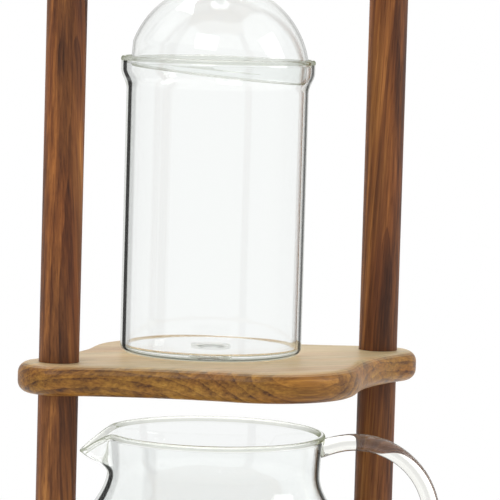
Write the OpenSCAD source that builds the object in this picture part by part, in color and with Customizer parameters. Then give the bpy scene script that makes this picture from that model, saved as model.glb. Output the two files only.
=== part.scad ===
// Cold drip coffee tower: three S-shaped wooden boards on two round posts.
// A water vessel with a needle tap drips into a glass coffee chamber with an askew domed lid,
// and the chamber drains into an open carafe with a rod handle.
// Z = 0 is the table, the origin is midway between the posts, and -Y is the front.

/* [Posts] */
// Distance between the two post axes
post_span = 200; // [190:1:240]
// Diameter of a post
post_d = 21.5; // [19:0.5:26]
// How far a post stands above the top board
post_over = 34; // [8:1:80]
// Radius that rounds the top of a post
post_round = 4; // [1:0.5:6]
// Depth of the post sockets in the base board
post_socket = 8; // [4:1:10]
// Gap between a post and its hole, on the radius
post_gap = 0.15; // [0.05:0.05:0.5]

/* [Shelf boards] */
// Thickness of the two shelf boards
board_t = 16.5; // [14:0.5:24]
// Rounding of a shelf board's edges
edge_r = 6; // [2:0.5:6.5]
// Wood left around a post in a shelf board
lobe_wall = 11; // [8:0.5:16]
// Radius of the two swellings of a shelf board
swell_r = 54; // [48:1:62]
// How far a swelling's centre lies beside the board's centre
swell_x = 6; // [0:1:16]
// How far a swelling's centre lies before or behind the board's centre
swell_y = 32.5; // [26:0.5:40]
// Radius of the long hollow edge of a shelf board
long_hollow_r = 220; // [180:5:400]
// Radius of the short hollow edge of a shelf board
short_hollow_r = 140; // [90:5:240]

/* [Base board] */
// Thickness of the base board
base_t = 20; // [17:0.5:28]
// Rounding of the base board's edges
base_edge_r = 7; // [2:0.5:8]
// Wood left around a post in the base board
base_lobe_wall = 17; // [15:0.5:24]
// Radius of the two swellings of the base board
base_swell_r = 70; // [66:1:78]
// How far a base swelling's centre lies beside the centre
base_swell_x = 8; // [0:1:16]
// How far a base swelling's centre lies before or behind the centre
base_swell_y = 38; // [34:0.5:46]
// Radius of the long hollow edge of the base board
base_long_hollow_r = 260; // [220:5:400]
// Radius of the short hollow edge of the base board
base_short_hollow_r = 150; // [110:5:240]

/* [Heights] */
// Free height between the carafe's rim and the middle board
carafe_gap = 27.5; // [18:0.5:60]
// Free height between the chamber lid's collar and the drip tip
drip_gap = 60; // [56:1:120]
// How far the glass axis stands behind the line of the posts
glass_y = 14; // [0:1:20]

/* [Glass vessels] */
// Outer radius of the straight glass body
vessel_r = 50; // [46:0.5:54]
// Height of a vessel from its foot to its rim
vessel_h = 162.5; // [120:0.5:220]
// Thickness of the vessel's wall
vessel_wall = 3; // [2:0.1:3.5]
// Thickness of the vessel's floor
vessel_floor = 3.5; // [2.5:0.1:5]
// Outer rounding of the vessel's foot
vessel_foot_r = 4; // [3:0.5:6]
// How much wider the flared mouth is than the body, on the radius
flare = 3.2; // [2.5:0.1:5]
// Depth of the flared mouth's straight part below the rim
flare_depth = 7; // [5:0.5:9]
// Depth below the rim at which the shoulder meets the body
shoulder_depth = 18; // [16:0.5:24]
// Radius of the rolled bead on the rim
bead_r = 1.7; // [1.2:0.1:2]
// Outer radius of the drain spout under a vessel
drain_r = 10; // [9:0.5:12]
// Radius of the bore through the drain spout
drain_bore_r = 7.5; // [6.5:0.1:8]
// How far the drain spout comes out below its board
drain_out = 8; // [6:0.5:9]
// Gap between the chamber's drain spout and its hole, on the radius
drain_gap = 1.5; // [1:0.1:4]
// Radius of the hole in the top board that lets the tap through
tap_hole_r = 25; // [24.5:0.5:34]

/* [Lids] */
// Outer radius of a lid's skirt
lid_r = 48.2; // [47.6:0.1:48.8]
// Height of a lid's skirt
skirt_h = 13.5; // [8:0.5:18]
// Outer radius of a lid's dome
dome_r = 50; // [49:0.5:60]
// Thickness of a lid's glass
lid_wall = 2.5; // [2:0.1:3]
// Outer radius of the open collar on top of a lid
collar_r = 11; // [10:0.5:14]
// Height of the collar above the dome's top
collar_h = 10; // [6:0.5:16]
// How far the chamber's lid lies askew in its mouth, in degrees
lid_tilt = 4.7; // [0:0.1:4.8]
// Direction in which the askew lid leans, in degrees from +X
lid_lean = -30; // [-180:5:180]
// Gap between a lid's skirt and the mouth that it sits in
lid_gap = 0.2; // [0.1:0.05:0.4]

/* [Filter] */
// Outer radius of the filter ring's flange on the glass floor
ring_r = 11; // [9.5:0.1:13]
// Thickness of the filter ring's flange
ring_t = 1; // [0.8:0.1:2]
// How far the filter ring reaches down into the drain
ring_l = 8; // [6:0.5:12]
// Radius of the opening through the filter ring
ring_bore_r = 5.4; // [4.8:0.1:5.6]
// Thickness of the filter disc
disc_t = 1; // [0.6:0.1:1.4]
// How far the filter disc reaches into the ring's groove
disc_grip = 0.8; // [0.4:0.1:1]
// Height of the ring's edge under the filter disc
disc_ledge = 2; // [1:0.1:3]
// Radius of the holes in the filter disc
disc_hole_r = 0.5; // [0.3:0.05:0.55]

/* [Carafe] */
// How far the carafe stands beside the drip line
carafe_x = 4; // [-8:1:8]
// Height of the carafe
carafe_h = 145; // [130:1:180]
// Radius of the carafe's flat foot
foot_disc_r = 50; // [40:1:56]
// Largest radius of the carafe's belly
belly_r = 76; // [70:0.5:78]
// Height of the belly's widest ring
belly_z = 81; // [70:1:86]
// Radius of the carafe's neck
neck_r = 59; // [52:0.5:60]
// Depth of the neck below the rim
neck_depth = 23; // [18:0.5:28]
// Radius of the carafe's rim
rim_r = 61; // [58:0.5:64]
// Thickness of the carafe's wall
carafe_wall = 2.6; // [2:0.1:3]
// Thickness of the carafe's floor
carafe_floor = 4; // [3:0.5:6]
// How far the pouring lip reaches from the carafe's axis
lip_reach = 74.5; // [70:0.5:80]
// How far the pouring lip hangs below the rim
lip_drop = 12; // [6:0.5:14]
// How far below the rim the pouring lip leaves the neck
lip_depth = 22; // [18:0.5:26]
// Half the width of the pouring lip where it leaves the rim
lip_half_w = 17; // [12:0.5:22]
// Direction of the handle, in degrees from +X
handle_turn = -28; // [-60:1:-10]
// Thickness of the rod that the handle is bent from
rod_d = 9.6; // [8:0.2:12]
// Radius of the handle's bend
bend_r = 43; // [38:0.5:46]
// How far the bend's centre lies from the carafe's axis
bend_reach = 79; // [76:0.5:84]
// Depth of the bend's top below the rim
bend_top = 4.5; // [2:0.5:6]

/* [Tap] */
// Outer radius of the tap's tube
tube_r = 3.5; // [3:0.1:4.5]
// Radius of the water way through the tap
way_r = 1.8; // [1.2:0.1:2.2]
// Outer radius of the tap's barrel
barrel_r = 8; // [7.5:0.1:9]
// Length of the tap's barrel
barrel_l = 20; // [16:0.5:22]
// Radius of the turning plug
plug_r = 5; // [4.5:0.1:5.5]
// Running gap between moving parts of the tap
run_gap = 0.05; // [0.02:0.01:0.08]
// Gap between the barrel's ends and the parts that turn against them
end_gap = 0.3; // [0.2:0.05:0.5]
// Height of tube to be seen between the tap's collar and its barrel
tube_show = 5; // [3:0.5:12]
// Length of the tap's lever
lever_l = 13; // [9:0.5:14]
// Width of the tap's lever
lever_w = 6; // [5:0.5:8]
// Thickness of the tap's lever
lever_t = 5; // [4:0.5:5.5]
// Height of the silicone stopper inside the drain spout
stopper_h = 12; // [8:0.5:16]
// Thickness of the stopper's rim under the drain spout
stopper_rim = 3; // [2:0.5:5]
// Length of the drip tip
tip_l = 18; // [14:0.5:26]
// Outer radius of the drip tip's end
tip_r = 1.9; // [1.6:0.1:2.4]
// Radius of the drop hole in the drip tip
tip_bore_r = 0.9; // [0.6:0.1:1.2]

/* [Feet and fasteners] */
// Height of a rubber foot
foot_h = 6; // [5:0.5:12]
// Radius of a rubber foot
foot_r = 8; // [7:0.5:9]
// Distance between the two middle feet of one side, along X
foot_gap_x = 88; // [70:2:96]
// Distance of those feet before or behind the centre
foot_y = 74; // [66:1:80]
// Radius of a foot screw's head
foot_head_r = 3.6; // [3:0.1:4]
// Height of a foot screw's head
foot_head_h = 2.2; // [1.5:0.1:2.6]
// Radius of a foot screw's shank
foot_shank_r = 1.9; // [1.5:0.1:2.2]
// Length of a foot screw in the wood
foot_bite = 10; // [6:0.5:13]
// Radius of a base bolt's shank
bolt_r = 3; // [2.5:0.1:3.5]
// Radius of a base bolt's head
bolt_head_r = 5; // [4.5:0.1:5.6]
// Height of a base bolt's head
bolt_head_h = 4; // [3:0.1:5]
// Outer radius of a threaded insert in a post
insert_r = 4.5; // [4.2:0.1:5]
// Length of a threaded insert
insert_l = 15; // [10:0.5:20]
// Radius of a shelf screw's shank
screw_r = 2; // [1.6:0.1:2.4]
// Radius of a shelf screw's head
screw_head_r = 4; // [3.4:0.1:4.6]
// Height of a shelf screw's head
screw_head_h = 2.6; // [2:0.1:3]
// How far a shelf screw's head is sunk below the wood
screw_sink = 0.6; // [0:0.1:1.5]
// Length of a shelf screw in the post
screw_bite = 14; // [8:0.5:15]
// Gap around a fastener, on the radius
fast_gap = 0.05; // [0.02:0.01:0.1]

/* [Hidden] */

$fn = 96;
over = 1;              // how far a cutter runs past the face that it cuts
bend_steps = 6;        // straight pieces in a quarter of a small rounding
curve_steps = 14;      // straight pieces in a long curve of glass
hull_fn = 16;          // sides of the balls that a hull is stretched over
head_room = 0.4;       // gap around the head of a fastener, on the radius

walnut = [0.36, 0.22, 0.13];
acacia = [0.66, 0.47, 0.29];
glass = [0.80, 0.88, 0.90, 0.35];
steel = [0.75, 0.76, 0.78];
brass = [0.78, 0.62, 0.30];
rubber = [0.12, 0.12, 0.12];
silicone = [0.88, 0.88, 0.85];

post_r = post_d / 2;
post_x = post_span / 2;
lobe_r = post_r + lobe_wall;
base_lobe_r = post_r + base_lobe_wall;

base_top = foot_h + base_t;
carafe_rim_z = base_top + carafe_h;
middle_top = carafe_rim_z + carafe_gap + board_t;
chamber_rim_z = middle_top + vessel_h;

// the flared mouth: radii and depths of its outer face
mouth_r = vessel_r + flare;
mouth_in_r = mouth_r - vessel_wall;
body_in_r = vessel_r - vessel_wall;
shoulder_h = shoulder_depth - flare_depth;

// depth below the rim at which the mouth's inner face has the radius r
function seat_depth(r) =
    shoulder_depth - shoulder_h * acos(1 - 2 * (r - body_in_r) / flare) / 180;

// the lowest corner of an askew skirt swings in and down
lid_corner_r = lid_r * cos(lid_tilt);
lid_corner_drop = lid_r * sin(lid_tilt);
chamber_lid_z = chamber_rim_z - seat_depth(lid_corner_r + lid_gap) + lid_corner_drop + lid_gap;
dome_z = skirt_h - sqrt(dome_r * dome_r - lid_r * lid_r);
lid_h = dome_z + dome_r + collar_h;
collar_bore_r = collar_r - lid_wall;
chamber_lid_top = chamber_lid_z + lid_h * cos(lid_tilt) + collar_r * sin(lid_tilt);

// the tap, downwards from the foot of the water vessel's drain spout
tap_collar_t = 2;
tap_collar_r = barrel_r;
barrel_drop = stopper_rim + tap_collar_t + tube_show + barrel_r;
tube_out = 4;                                       // tube below the barrel
tip_drop = barrel_drop + barrel_r + tip_l + end_gap;
drip_z = chamber_lid_top + drip_gap;
spout_z = drip_z + tip_drop;
top_top = spout_z + drain_out + board_t;
post_top = top_top + post_over;
vessel_rim_z = top_top + vessel_h;
vessel_lid_z = vessel_rim_z - seat_depth(lid_r + lid_gap) + lid_gap;
barrel_z = spout_z - barrel_drop;
tip_top_z = barrel_z - barrel_r - end_gap;

// parts on the plug's axis, from the barrel's centre outwards
hub_y = barrel_l / 2 + end_gap;
stem_r = plug_r - 2;
lever_screw_head_r = 2.4;
lever_screw_head_h = 1.2;
lever_screw_r = 1.2;
lever_screw_l = 4;
washer_t = 0.8;
washer_r = barrel_r - 1;
thread_r = 2.4;
nut_t = 3;
nut_r = 4.6;
seal_y = barrel_l / 2 - 4;
seal_w = 1.1;                                        // thickness of a seal's ring
seal_groove = 0.1;                                   // room for it in its groove

post_foot_z = base_top - post_socket;
bolt_seat_z = foot_h + bolt_head_h + over;
bolt_reach = 10;                                     // length of a bolt inside its insert
insert_hole_l = insert_l + 3;
shelf_mid_zs = [middle_top - board_t / 2, top_top - board_t / 2];
screw_head_y = lobe_r - screw_sink - screw_head_h;
lobe_foot_x = post_x + bolt_head_r + head_room + foot_r + 2;

function foot_places() =
    [for (s = [-1, 1]) each [[s * lobe_foot_x, 0],
                             [s * (foot_gap_x / 2 + base_swell_x), -s * foot_y],
                             [s * (base_swell_x - foot_gap_x / 2), -s * foot_y]]];

// centre of the circle of radius r that touches circles a and b from outside, right of a to b
function tangent_centre(a, ra, b, rb, r) =
    let (w = b - a, d = norm(w), e = w / d, n = [e[1], -e[0]],
         da = ra + r, db = rb + r, along = (da * da - db * db + d * d) / (2 * d))
    a + e * along + n * sqrt(da * da - along * along);

// points along an arc
function arc(c, r, from, to, steps = bend_steps) =
    [for (i = [0 : steps]) let (t = from + (to - from) * i / steps) c + r * [cos(t), sin(t)]];

// points of a smooth step from radius ra at height za to radius rb at height zb
function s_curve(ra, za, rb, zb, steps = curve_steps) =
    [for (i = [0 : steps]) let (u = i / steps)
        [ra + (rb - ra) * (1 - cos(180 * u)) / 2, za + (zb - za) * u]];

module ring(r, bore, h)
    difference() {
        cylinder(r = r, h = h);
        translate([0, 0, -over]) cylinder(r = bore, h = h + 2 * over);
    }

// a cylinder that runs along +Y from y = 0
module y_cylinder(r, l) rotate([-90, 0, 0]) cylinder(r = r, h = l);

// ---------------------------------------------------------------- boards

module rounded_disc(r, t, e)
    rotate_extrude() polygon(concat([[0, 0]], arc([r - e, e], e, -90, 0),
                                    arc([r - e, t - e], e, 0, 90), [[0, t]]));

// what is cut away inside a hollow edge of radius r, with the edge's rounding
module hollow_cutter(r, t, e)
    rotate_extrude() polygon(concat([[0, -over], [r + e, -over]], arc([r + e, e], e, 270, 180),
                                    arc([r + e, t - e], e, 180, 90),
                                    [[r + e, t + over], [0, t + over]]));

// a board with the same outline after half a turn: two lobes, two swellings, four hollow edges
module s_board(t, e, lobe, swell, x, y, long_r, short_r) {
    left = [-post_x, 0];
    right = [post_x, 0];
    front = [x, -y];
    long_c = tangent_centre(left, lobe, front, swell, long_r);
    short_c = tangent_centre(front, swell, right, lobe, short_r);
    for (turn = [0, 180]) rotate(turn) {
        translate(right) rounded_disc(lobe, t, e);
        translate(front) rounded_disc(swell, t, e);
    }
    difference() {
        linear_extrude(t)
            polygon([left, long_c, front, short_c, right, -long_c, -front, -short_c]);
        for (turn = [0, 180]) rotate(turn) {
            translate(long_c) hollow_cutter(long_r, t, e);
            translate(short_c) hollow_cutter(short_r, t, e);
        }
    }
}

module shelf(top_z, centre_hole_r) {
    color(acacia) difference() {
        translate([0, 0, top_z - board_t])
            s_board(board_t, edge_r, lobe_r, swell_r, swell_x, swell_y,
                    long_hollow_r, short_hollow_r);
        for (x = [-post_x, post_x]) translate([x, 0, top_z - board_t - over]) {
            cylinder(r = post_r + post_gap, h = board_t + 2 * over);
            translate([0, 0, over + board_t / 2]) {
                y_cylinder(screw_r + fast_gap, lobe_r + over);
                translate([0, screw_head_y, 0]) y_cylinder(screw_head_r + head_room, lobe_r);
            }
        }
        translate([0, glass_y, top_z - board_t - over])
            cylinder(r = centre_hole_r, h = board_t + 2 * over);
    }
}

module middle_shelf() shelf(middle_top, drain_r + drain_gap);

module top_shelf() shelf(top_top, tap_hole_r);

module base_board() {
    color(acacia) difference() {
        translate([0, 0, foot_h])
            s_board(base_t, base_edge_r, base_lobe_r, base_swell_r, base_swell_x, base_swell_y,
                    base_long_hollow_r, base_short_hollow_r);
        for (x = [-post_x, post_x]) translate([x, 0, 0]) {
            translate([0, 0, post_foot_z]) cylinder(r = post_r + post_gap, h = post_socket + over);
            cylinder(r = bolt_r + fast_gap, h = base_top);
            cylinder(r = bolt_head_r + head_room, h = bolt_seat_z);
        }
        for (p = foot_places()) translate(p)
            cylinder(r = foot_shank_r + fast_gap, h = foot_h + foot_bite + over);
    }
}

// ---------------------------------------------------------------- posts and fasteners

module post(x) {
    color(walnut) translate([x, 0, 0]) difference() {
        rotate_extrude() polygon(concat(
            [[0, post_foot_z], [post_r - over, post_foot_z], [post_r, post_foot_z + over]],
            arc([post_r - post_round, post_top - post_round], post_round, 0, 90),
            [[0, post_top]]));
        translate([0, 0, post_foot_z - over])
            cylinder(r = insert_r + fast_gap, h = insert_hole_l + over);
        for (z = shelf_mid_zs) translate([0, post_r - screw_bite, z])
            y_cylinder(screw_r + fast_gap, screw_bite + over);
    }
}

module left_post() post(-post_x);

module right_post() post(post_x);

module base_bolts()
    color(steel) for (x = [-post_x, post_x]) translate([x, 0, bolt_seat_z - bolt_head_h]) {
        difference() {
            cylinder(r = bolt_head_r, h = bolt_head_h);
            translate([0, 0, -over]) cylinder(r = bolt_r, h = bolt_head_h / 2 + over, $fn = 6);
        }
        translate([0, 0, bolt_head_h])
            cylinder(r = bolt_r, h = post_foot_z + bolt_reach - bolt_seat_z);
    }

module post_inserts()
    color(brass) for (x = [-post_x, post_x]) translate([x, 0, post_foot_z])
        ring(insert_r, bolt_r + fast_gap, insert_l);

module shelf_screws()
    color(brass) for (x = [-post_x, post_x], z = shelf_mid_zs) translate([x, 0, z])
        difference() {
            union() {
                translate([0, screw_head_y, 0]) y_cylinder(screw_head_r, screw_head_h);
                translate([0, post_r - screw_bite + over, 0])
                    y_cylinder(screw_r, screw_head_y - post_r + screw_bite - over);
            }
            translate([-screw_r / 4, screw_head_y + screw_head_h / 2, -lobe_r])
                cube([screw_r / 2, screw_head_h, 2 * lobe_r]);
        }

module rubber_feet()
    color(rubber) for (p = foot_places()) translate(p) difference() {
        rotate_extrude() polygon(concat([[0, 0]], arc([foot_r - over, over], over, -90, 0),
                                        [[foot_r, foot_h], [0, foot_h]]));
        translate([0, 0, -over]) cylinder(r = foot_shank_r + fast_gap, h = foot_h + 2 * over);
        translate([0, 0, -over])
            cylinder(r = foot_head_r + head_room, h = foot_head_h + 2 * over);
    }

module foot_screws()
    color(steel) for (p = foot_places()) translate([p[0], p[1], over]) {
        difference() {
            cylinder(r = foot_head_r, h = foot_head_h);
            translate([-foot_r, -foot_shank_r / 4, -over])
                cube([2 * foot_r, foot_shank_r / 2, foot_head_h / 2 + over]);
        }
        translate([0, 0, foot_head_h])
            cylinder(r = foot_shank_r, h = foot_h - over - foot_head_h + foot_bite);
    }

// ---------------------------------------------------------------- glass vessels and lids

module vessel(z) {
    foot_in_r = vessel_foot_r - over;
    bead_z = vessel_h - bead_r;
    color(glass) translate([0, glass_y, z]) rotate_extrude() polygon(concat(
        [[drain_bore_r, -board_t - drain_out], [drain_r, -board_t - drain_out], [drain_r, 0]],
        arc([vessel_r - vessel_foot_r, vessel_foot_r], vessel_foot_r, -90, 0),
        s_curve(vessel_r, vessel_h - shoulder_depth, mouth_r, vessel_h - flare_depth),
        arc([mouth_r - vessel_wall / 2, bead_z], bead_r, -20, 200, 2 * bend_steps),
        s_curve(mouth_in_r, vessel_h - flare_depth, body_in_r, vessel_h - shoulder_depth),
        arc([body_in_r - foot_in_r, vessel_floor + foot_in_r], foot_in_r, 0, -90),
        [[drain_bore_r, vessel_floor]]));
}

module coffee_chamber() vessel(middle_top);

module water_vessel() vessel(top_top);

// the lid's own origin is the centre of its skirt's lower edge
module lid() {
    dome_in_r = dome_r - lid_wall;
    skirt_in_r = lid_r - lid_wall;
    lip = lid_wall / 2;
    fillet = 2.5;
    out_from = asin((skirt_h - dome_z) / dome_r);
    out_to = acos((collar_r + fillet) / dome_r);
    in_from = acos(collar_bore_r / dome_in_r);
    in_to = acos(skirt_in_r / dome_in_r);
    collar_z = dome_z + dome_r * sin(out_to);
    color(glass) rotate_extrude() polygon(concat(
        arc([lid_r - lip, lip], lip, -180, 0),
        arc([0, dome_z], dome_r, out_from, out_to, curve_steps),
        [[collar_r, collar_z + fillet]],
        arc([collar_r - lip, lid_h - lip], lip, 0, 180),
        arc([0, dome_z], dome_in_r, in_from, in_to, curve_steps)));
}

module chamber_lid()
    translate([0, glass_y, chamber_lid_z])
        rotate(a = lid_tilt, v = [-sin(lid_lean), cos(lid_lean), 0]) lid();

module vessel_lid() translate([0, glass_y, vessel_lid_z]) lid();

// ---------------------------------------------------------------- filter

floor_z = middle_top + vessel_floor;
disc_r = ring_bore_r + disc_grip;
disc_z = floor_z - ring_l + disc_ledge;

// a plug in the drain with a thin flange, and a groove for the disc
module filter_ring()
    color(silicone) translate([0, glass_y, 0]) difference() {
        union() {
            translate([0, 0, floor_z - ring_l])
                cylinder(r = drain_bore_r - fast_gap, h = ring_l + ring_t);
            translate([0, 0, floor_z]) cylinder(r = ring_r, h = ring_t);
        }
        translate([0, 0, floor_z - ring_l - over])
            cylinder(r = ring_bore_r, h = ring_l + ring_t + 2 * over);
        translate([0, 0, disc_z]) cylinder(r = disc_r + fast_gap, h = disc_t);
    }

module filter_disc() {
    pitch = ring_bore_r / 4;
    color(steel) translate([0, glass_y, disc_z]) difference() {
        cylinder(r = disc_r, h = disc_t);
        for (row = [0 : 3], i = [0 : max(0, 6 * row - 1)])
            rotate(row == 0 ? 0 : 60 * i / row)
                translate([row * pitch, 0, -over]) cylinder(r = disc_hole_r, h = disc_t + 2 * over);
    }
}

// ---------------------------------------------------------------- tap

module tap_stopper() {
    in_bore_r = drain_bore_r - fast_gap;
    color(silicone) translate([0, glass_y, spout_z]) difference() {
        rotate_extrude() polygon([[0, -stopper_rim], [drain_r, -stopper_rim], [drain_r, 0],
                                  [in_bore_r, 0], [in_bore_r, stopper_h - over],
                                  [in_bore_r - over, stopper_h], [0, stopper_h]]);
        translate([0, 0, -stopper_rim - over])
            cylinder(r = tube_r + fast_gap, h = stopper_h + stopper_rim + 2 * over);
    }
}

module tap_body()
    color(steel) translate([0, glass_y, 0]) difference() {
        union() {
            translate([0, 0, barrel_z - barrel_r - tube_out])
                cylinder(r = tube_r, h = spout_z + stopper_h + over - barrel_z + barrel_r + tube_out);
            translate([0, -barrel_l / 2, barrel_z]) y_cylinder(barrel_r, barrel_l);
            translate([0, 0, spout_z - stopper_rim - tap_collar_t])
                cylinder(r = tap_collar_r, h = tap_collar_t);
        }
        translate([0, 0, barrel_z - 3 * barrel_r]) cylinder(r = way_r, h = spout_z);
        translate([0, -barrel_l, barrel_z]) y_cylinder(plug_r + run_gap, 2 * barrel_l);
    }

// the plug turns about Y, with the lever on its front and the washer and nut behind
module tap_plug()
    color(steel) translate([0, glass_y, barrel_z]) difference() {
        union() {
            translate([0, -barrel_l / 2, 0]) y_cylinder(plug_r, barrel_l);
            translate([0, -hub_y - lever_t, 0]) y_cylinder(stem_r, lever_t + hub_y);
            y_cylinder(thread_r, hub_y + washer_t + nut_t + over / 2);
        }
        for (y = [-seal_y, seal_y]) translate([0, y - seal_w / 2 - seal_groove, 0])
            rotate([-90, 0, 0])
                ring(plug_r + over, plug_r - seal_w - seal_groove, seal_w + 2 * seal_groove);
        translate([-plug_r - over, 0, 0]) rotate([0, 90, 0])
            cylinder(r = way_r, h = 2 * (plug_r + over));
        translate([0, -hub_y - lever_t - over, 0])
            y_cylinder(lever_screw_r + fast_gap, lever_screw_l + over);
    }

module plug_seals()
    color(rubber) for (y = [-seal_y, seal_y]) translate([0, glass_y + y, barrel_z])
        rotate([-90, 0, 0]) rotate_extrude()
            translate([plug_r - seal_w / 2, 0]) circle(d = seal_w);

module tap_lever()
    color(walnut) translate([0, glass_y - hub_y - lever_t, barrel_z]) difference() {
        union() {
            y_cylinder(lever_w, lever_t);
            translate([0, 0, -lever_w / 2]) cube([lever_l - lever_w / 2, lever_t, lever_w]);
            translate([lever_l - lever_w / 2, 0, 0]) y_cylinder(lever_w / 2, lever_t);
        }
        translate([0, -over, 0]) y_cylinder(stem_r + fast_gap, lever_t + 2 * over);
    }

module lever_screw()
    color(brass) translate([0, glass_y - hub_y - lever_t, barrel_z]) {
        translate([0, -lever_screw_head_h, 0]) difference() {
            y_cylinder(lever_screw_head_r + stem_r / 2, lever_screw_head_h);
            translate([-2 * stem_r, -over, -lever_screw_r / 4])
                cube([4 * stem_r, over + lever_screw_head_h / 2, lever_screw_r / 2]);
        }
        y_cylinder(lever_screw_r, lever_screw_l - over / 2);
    }

module tap_washer()
    color(steel) translate([0, glass_y + hub_y, barrel_z])
        rotate([-90, 0, 0]) ring(washer_r, thread_r + fast_gap, washer_t);

module tap_nut()
    color(steel) translate([0, glass_y + hub_y + washer_t, barrel_z])
        rotate([-90, 0, 0]) difference() {
            cylinder(r = nut_r, h = nut_t, $fn = 6);
            translate([0, 0, -over]) cylinder(r = thread_r + fast_gap, h = nut_t + 2 * over);
        }

module drip_tip() {
    sleeve_r = tube_r + fast_gap;
    sleeve_l = tube_out;
    color(steel) translate([0, glass_y, tip_top_z - tip_l]) rotate_extrude() polygon([
        [tip_bore_r, 0], [tip_r, 0], [tip_r + over / 2, tip_l / 3],
        [sleeve_r + over, tip_l - sleeve_l - over], [sleeve_r + over, tip_l],
        [sleeve_r, tip_l], [sleeve_r, tip_l - sleeve_l], [tip_bore_r, tip_l - sleeve_l - over]]);
}

// ---------------------------------------------------------------- carafe

// the carafe's outer face from its foot to its rim; inset moves it inwards for the inner face
function carafe_face(inset, floor_z) =
    let (foot = foot_disc_r - inset / 2, neck_z = carafe_h - neck_depth)
    concat(
        [for (i = [0 : curve_steps]) let (t = 90 * i / curve_steps)
            [foot + (belly_r - inset - foot) * sin(t),
             floor_z + (belly_z - floor_z) * (1 - cos(t))]],
        s_curve(belly_r - inset, belly_z, neck_r - inset, neck_z),
        [for (i = [1 : bend_steps]) let (u = i / bend_steps)
            [neck_r + (rim_r - neck_r) * u * u - inset, neck_z + (neck_depth - bead_r) * u]]);

module carafe_solid()
    rotate_extrude() polygon(concat([[0, 0]], carafe_face(0, 0), [[0, carafe_h - bead_r]]));

// a ball on the pouring lip: u away from the axis, v to the side, z above the foot
module lip_ball(u, v, z, r) translate([-u, v, z]) sphere(r = r, $fn = hull_fn);

module carafe() {
    lip_z = carafe_h - bead_r;
    tip_z = lip_z - lip_drop;
    inner_r = rim_r - carafe_wall;
    color(glass) translate([carafe_x, glass_y, base_top]) difference() {
        union() {
            carafe_solid();
            translate([0, 0, lip_z]) rotate_extrude()
                translate([rim_r - carafe_wall / 2, 0]) circle(r = bead_r);
            rotate(handle_turn) hull() {
                for (v = [-lip_half_w, lip_half_w])
                    lip_ball(rim_r - lip_half_w / 4, v, lip_z, bead_r);
                lip_ball(neck_r - bead_r, 0, lip_z - lip_depth, bead_r);
                lip_ball(lip_reach - bead_r, 0, tip_z, bead_r);
            }
        }
        rotate_extrude() polygon(concat([[0, carafe_floor]], carafe_face(carafe_wall, carafe_floor),
                                        [[inner_r, carafe_h + over], [0, carafe_h + over]]));
        rotate(handle_turn) hull() {
            for (v = [-lip_half_w, lip_half_w], z = [lip_z - over, carafe_h + over])
                lip_ball(inner_r - lip_half_w / 2, v * 3 / 4, z, bead_r);
            lip_ball(neck_r - 2 * carafe_wall, 0, lip_z - lip_depth + carafe_wall + over, bead_r);
            for (rise = [bead_r + over, bead_r + lip_drop + 2 * over])
                lip_ball(lip_reach, 0, tip_z + rise, bead_r / 2);
        }
    }
}

module carafe_handle() {
    rod_r = rod_d / 2;
    bend_z = carafe_h - bend_top - bend_r;
    top_root = neck_r - carafe_wall;            // the bend runs on past its top into the neck
    low_root = belly_r - 2 * carafe_wall;
    past_top = asin((bend_reach - top_root) / bend_r);
    color(glass) translate([carafe_x, glass_y, base_top]) difference() {
        rotate(handle_turn) {
            translate([bend_reach, 0, bend_z]) rotate([90, 0, 0]) rotate([0, 0, -90])
                rotate_extrude(angle = 180 + past_top) translate([bend_r, 0]) circle(r = rod_r);
            translate([low_root, 0, bend_z - bend_r]) rotate([0, 90, 0])
                cylinder(r = rod_r, h = bend_reach - low_root);
            translate([belly_r - over, 0, bend_z - bend_r]) sphere(r = rod_r + over);
        }
        carafe_solid();
    }
}

base_board();
middle_shelf();
top_shelf();
left_post();
right_post();
base_bolts();
post_inserts();
shelf_screws();
rubber_feet();
foot_screws();
coffee_chamber();
filter_ring();
filter_disc();
chamber_lid();
water_vessel();
vessel_lid();
tap_stopper();
tap_body();
tap_plug();
plug_seals();
tap_lever();
lever_screw();
tap_washer();
tap_nut();
drip_tip();
carafe();
carafe_handle();
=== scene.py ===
"""Looks of a cold drip coffee tower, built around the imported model.

The shapes below are written in millimetres and turned into metres when a mesh is made.
"""

import math

import bpy
from mathutils import Matrix, Vector


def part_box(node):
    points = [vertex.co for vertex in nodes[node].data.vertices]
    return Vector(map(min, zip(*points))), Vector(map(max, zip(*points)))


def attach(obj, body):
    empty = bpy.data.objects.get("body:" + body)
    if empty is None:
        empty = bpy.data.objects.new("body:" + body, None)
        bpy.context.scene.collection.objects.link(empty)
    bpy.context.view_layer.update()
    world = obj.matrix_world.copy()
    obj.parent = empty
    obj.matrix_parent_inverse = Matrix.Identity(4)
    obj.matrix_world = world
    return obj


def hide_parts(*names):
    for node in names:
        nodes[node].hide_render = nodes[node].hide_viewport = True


MM = 0.001
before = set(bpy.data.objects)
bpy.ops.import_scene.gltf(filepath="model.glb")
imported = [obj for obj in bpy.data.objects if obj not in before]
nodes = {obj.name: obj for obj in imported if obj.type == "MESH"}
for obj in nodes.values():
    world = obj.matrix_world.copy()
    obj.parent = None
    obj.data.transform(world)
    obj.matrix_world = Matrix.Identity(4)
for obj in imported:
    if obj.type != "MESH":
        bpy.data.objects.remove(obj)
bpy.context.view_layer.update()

SHADE_SIDE = (-0.87, 0.49, 0.0)   # level direction away from the key light; glass faces turned this way get darker painted edges, a painted shade
AIR = 0.06                        # keeps a glass foot from sharing a surface with its board
UNDER_BEAD = 1.2                  # how far below its round bead a rim is as thin as the wall

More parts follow.
